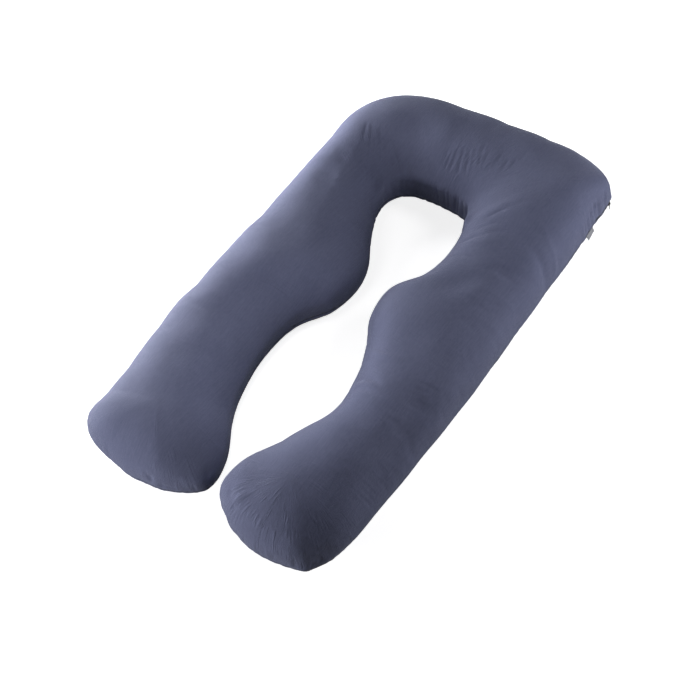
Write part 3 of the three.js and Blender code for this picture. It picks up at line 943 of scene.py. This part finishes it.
# A closed bar along the seam whose section has these corners, as (way out, height)
def barAlong(name, outline, places, corners):
    rings = np.stack([seamPath(outline, places, out, above) for out, above in corners], axis=1)
    rows, count = len(places), len(corners)
    faces = stripFaces(rows, count, True)
    faces += [tuple(range(count))[::-1], tuple(range((rows - 1) * count, rows * count))]
    mesh = meshFrom(name, rings.reshape(-1, 3), faces)
    work = bmesh.new()
    work.from_mesh(mesh)
    bmesh.ops.recalc_face_normals(work, faces=work.faces)
    work.to_mesh(mesh)
    work.free()
    mesh.polygons.foreach_set("use_smooth", [False] * len(mesh.polygons))
    return mesh


def wovenMaterial(name, finish):
    material = plainMaterial(name, finish["colour"], finish["roughness"], finish["sheen"])
    tree = material.node_tree
    place = addNode(tree, "ShaderNodeTexCoord").outputs["Object"]
    split = addNode(tree, "ShaderNodeSeparateXYZ", None, {"Vector": place})
    ribs, rows = (
        calc(tree, "SINE", calc(tree, "MULTIPLY", split.outputs[axis], 2 * math.pi / finish[name]))
        for axis, name in (("Y", "ribs"), ("Z", "rows"))
    )
    addBump(tree, calc(tree, "MULTIPLY", calc(tree, "MULTIPLY", ribs, rows), finish["relief"]))
    # the yarn's colour is a little uneven
    dark, pale = ([share * part for part in finish["colour"]] for share in (0.75, 1.3))
    tint = mixColours(tree, noiseOver(tree, place, 260.0, 3.0), dark, pale)
    tree.links.new(tint, tree.nodes["Principled BSDF"].inputs["Base Color"])
    return material


def finishPiece(piece, node=None):
    if node:
        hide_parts(node)
    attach(piece, "root")


def makeZip(form, beads):
    places = np.linspace(form["start"], form["end"], form["steps"])
    tape = wovenMaterial("zip_tape", form["tape"])
    for side, name in ((1, "zip_tape_upper"), (-1, "zip_tape_lower")):
        back, front = form["tapeBack"], form["tapeFront"]
        inner, outer = side * form["tapeInner"], side * form["tapeOuter"]
        corners = [(back, inner), (front, inner), (front, outer), (back, outer)]
        piece = addPiece(name, barAlong(name, outline, places, corners))
        piece.data.materials.append(tape)
        finishPiece(piece, "zip_chain")
    nylon = plainMaterial("zip_nylon", form["nylonColour"], 0.42)
    middle = seamPath(outline, places, form["coilOut"], 0.0)
    coil = beadsAlong("zip_coil_turns", beads, [middle], form["coil"], nylon)
    finishPiece(coil, "zip_chain")
    thread = plainMaterial("zip_thread", form["threadColour"], 0.7, 0.2)
    rows = [seamPath(outline, places, form["stitchOut"], side * form["stitchUp"]) for side in (1, -1)]
    finishPiece(beadsAlong("zip_stitches", beads, rows, form["stitch"], thread))
    print("zip:", len(coil.data.polygons), "faces in the coil")


beads = beadTree()
makeZip(zipForm, beads)

# Slider and pull, cast in zinc and lacquered black
castForm = {
    "bevel": 0.00022, "segments": 3, "weld": 2e-6, "flatWithin": 2,  # degrees
    "colour": (0.012, 0.012, 0.014), "worn": (0.085, 0.085, 0.090),
    "rubbedScale": 700.0, "wear": 9.0, "roughness": (0.25, 0.22),
}


def lacquerMaterial(form):
    material = plainMaterial("black_lacquer", form["colour"], 0.32, 0.0, {
        "Metallic": 0.55, "Coat Weight": 0.25, "Coat Roughness": 0.2,
    })
    tree = material.node_tree
    shader = tree.nodes["Principled BSDF"]
    place = addNode(tree, "ShaderNodeTexCoord").outputs["Object"]
    rubbed = noiseOver(tree, place, form["rubbedScale"], 4.0)
    edge = addNode(tree, "ShaderNodeNewGeometry").outputs["Pointiness"]
    wear = calc(tree, "MULTIPLY", rubbed, form["wear"])
    worn = calc(tree, "MULTIPLY", calc(tree, "SUBTRACT", edge, 0.5), wear)
    worn = addNode(tree, "ShaderNodeClamp", None, {"Value": worn}).outputs[0]
    tree.links.new(mixColours(tree, worn, form["colour"], form["worn"]), shader.inputs["Base Color"])
    tree.links.new(calc(tree, "MULTIPLY_ADD", rubbed, *form["roughness"]), shader.inputs["Roughness"])
    return material


def roundedCopy(name, node, material, form):
    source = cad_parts[node]
    mesh = source.data.copy()
    mesh.transform(source.matrix_world)
    work = bmesh.new()
    work.from_mesh(mesh)
    bmesh.ops.remove_doubles(work, verts=work.verts, dist=form["weld"])
    flat = math.radians(form["flatWithin"])
    bmesh.ops.dissolve_limit(work, angle_limit=flat, verts=work.verts, edges=work.edges)
    work.to_mesh(mesh)
    work.free()
    mesh.materials.clear()
    mesh.materials.append(material)
    piece = addPiece(name, mesh)
    bevel = piece.modifiers.new("bevel", "BEVEL")
    bevel.width, bevel.segments, bevel.limit_method = form["bevel"], form["segments"], "ANGLE"
    piece.data = finishedMesh(piece)
    piece.modifiers.clear()
    piece.data.name = name
    finishPiece(piece, node)


lacquer = lacquerMaterial(castForm)
roundedCopy("zip_slider_body", "zip_slider", lacquer, castForm)
roundedCopy("zip_pull_tab", "zip_pull", lacquer, castForm)

# Blank woven label, folded in half, with its cut ends sewn into the seam
labelForm = {
    "place": 18.17, "width": 0.034, "reach": 0.013, "layerGap": 0.00030, "thickness": 0.00032,
    "droop": 62.0, "drop": 0.0033, "rootInset": 0.002, "steps": 28, "layerSteps": 12, "turnSteps": 8,
    "curl": 5.0, "wave": 0.0004,  # how much the droop and the free edge vary along the label
    "weave": {
        "colour": (0.17, 0.175, 0.20), "roughness": 0.6, "sheen": 0.2,
        "ribs": 0.0006, "rows": 0.0004, "relief": 0.00005,
    },
}


def makeLabel(form):
    gap = form["layerGap"]
    straight = form["reach"] - gap - form["thickness"]
    lengths = np.linspace(0, straight, form["layerSteps"])
    turn = np.linspace(-math.pi / 2, math.pi / 2, form["turnSteps"])[1:-1]
    profile = np.vstack([
        np.column_stack([lengths, np.full_like(lengths, -gap)]),
        np.column_stack([straight + gap * np.cos(turn), gap * np.sin(turn)]),
        np.column_stack([lengths[::-1], np.full_like(lengths, gap)]),
    ])
    place = [form["place"]]
    seat = Vector((*outline.seamAt(place)[0], outline.heightAt(place)[0]))
    outward = Vector((*outline.outwardAt(place)[0], 0))
    up = Vector((0, 0, 1))
    headward = up.cross(outward)
    points = []
    for along in np.linspace(-1, 1, form["steps"]):
        droop = math.radians(form["droop"] + form["curl"] * math.sin(2.2 * along + 0.4))
        for out, rise in profile:
            free = out / form["reach"]
            rise = rise + form["wave"] * free * math.sin(5 * along + 1)
            points.append(
                seat + headward * (along * form["width"] / 2)
                + up * (rise * math.cos(droop) - out * math.sin(droop) - form["drop"])
                + outward * (out * math.cos(droop) + rise * math.sin(droop) - form["rootInset"])
            )
    faces = stripFaces(form["steps"], len(profile), False)
    label = addPiece("folded_label", meshFrom("folded_label", np.array(points), faces))
    label.data.materials.append(wovenMaterial("label_tape", form["weave"]))
    solidify = label.modifiers.new("thickness", "SOLIDIFY")
    solidify.thickness, solidify.offset = form["thickness"], 0
    finishPiece(label, "side_label")


makeLabel(labelForm)

# Thread of the closing seam, seen at the bottom of its groove
seamThread = {
    "out": -0.0036, "colour": (0.060, 0.068, 0.115),
    "pastZip": 0.05, "spacing": 1 / 24,  # in rows of the outline
    "stitch": {
        "Pitch": 0.0030, "Length": 0.0024, "Depth": 0.0005, "Height": 0.0006,
        "Sway": 0.0, "Jitter": 0.2, "Seed": 7,
    },
}


def makeSeamStitches(form, beads):
    first, last = zipForm["end"] + form["pastZip"], zipForm["start"] - form["pastZip"] + len(outline.points)
    path = seamPath(outline, np.arange(first, last, form["spacing"]), form["out"], 0.0)
    thread = plainMaterial("seam_thread", form["colour"], 0.7, 0.2)
    stitches = beadsAlong("seam_stitches", beads, [path], form["stitch"], thread)
    finishPiece(stitches)
    print("seam stitches:", len(stitches.data.polygons), "faces")


makeSeamStitches(seamThread, beads)

# Floor and light
studio = {
    "floorSize": 14.0,
    "floorColour": (0.86, 0.86, 0.87), "floorGlow": 0.80,
    "backdrop": (0.92, 0.92, 0.93), "backdropGlow": 0.9,
    "lamps": [  # name, place, what it points at, size, power
        ("front_left_softbox", (-2.54, -2.54, 0.35), (0, 0, 0.1), 1.4, 94),
        ("back_left_softbox", (-2.98, 1.06, 1.85), (0, 0, 0.1), 1.4, 72),
        ("left_low_strip", (-1.4, 0.3, 0.12), (-0.3, 0.3, 0.08), 0.5, 37),
        ("left_foot_strip", (-1.5, -0.2, 0.12), (-0.3, -0.1, 0.08), 0.5, 13),
        ("front_fill", (-0.5, -1.8, 0.4), (-0.15, -0.6, 0.1), 0.6, 13),
        ("hollow_fill", (0.0, -0.35, 0.5), (-0.1, -0.2, 0.1), 0.2, 0.75),
        ("right_fill", (1.6, 0.8, 0.40), (0.32, 0.5, 0.1), 0.6, 19.0),
        ("right_high", (1.2, 0.6, 1.3), (0.3, 0.45, 0.1), 0.5, 5.5),
    ],
}


def makeStudio(form):
    half = form["floorSize"] / 2
    corners = np.array([(-half, -half, 0), (half, -half, 0), (half, half, 0), (-half, half, 0)])
    floor = addPiece("floor", meshFrom("floor", corners, [(0, 1, 2, 3)]))
    floor.data.materials.append(plainMaterial("floor_paper", form["floorColour"], 0.9, 0.0, {
        "Emission Color": (1, 1, 1, 1), "Emission Strength": form["floorGlow"],
    }))
    floor.visible_diffuse = False  # the floor throws no light back, so the hollow stays dark
    world = bpy.data.worlds.new("studio")
    world.use_nodes = True
    background = world.node_tree.nodes["Background"]
    background.inputs["Color"].default_value = (*form["backdrop"], 1)
    background.inputs["Strength"].default_value = form["backdropGlow"]
    # pale behind the floor's edge, and throws no light
    for ray in ("diffuse", "glossy", "transmission", "scatter"):
        setattr(world.cycles_visibility, ray, False)
    bpy.context.scene.world = world
    for lamp in form["lamps"]:
        areaLight(*lamp)


def areaLight(name, place, aim, size, power):
    data = bpy.data.lights.new(name, "AREA")
    data.shape, data.size, data.energy = "SQUARE", size, power
    light = addPiece(name, data)
    light.location = place
    light.visible_camera = False
    light.rotation_euler = (Vector(aim) - Vector(place)).to_track_quat("-Z", "Y").to_euler()


makeStudio(studio)
bpy.context.scene.view_settings.view_transform = "Standard"
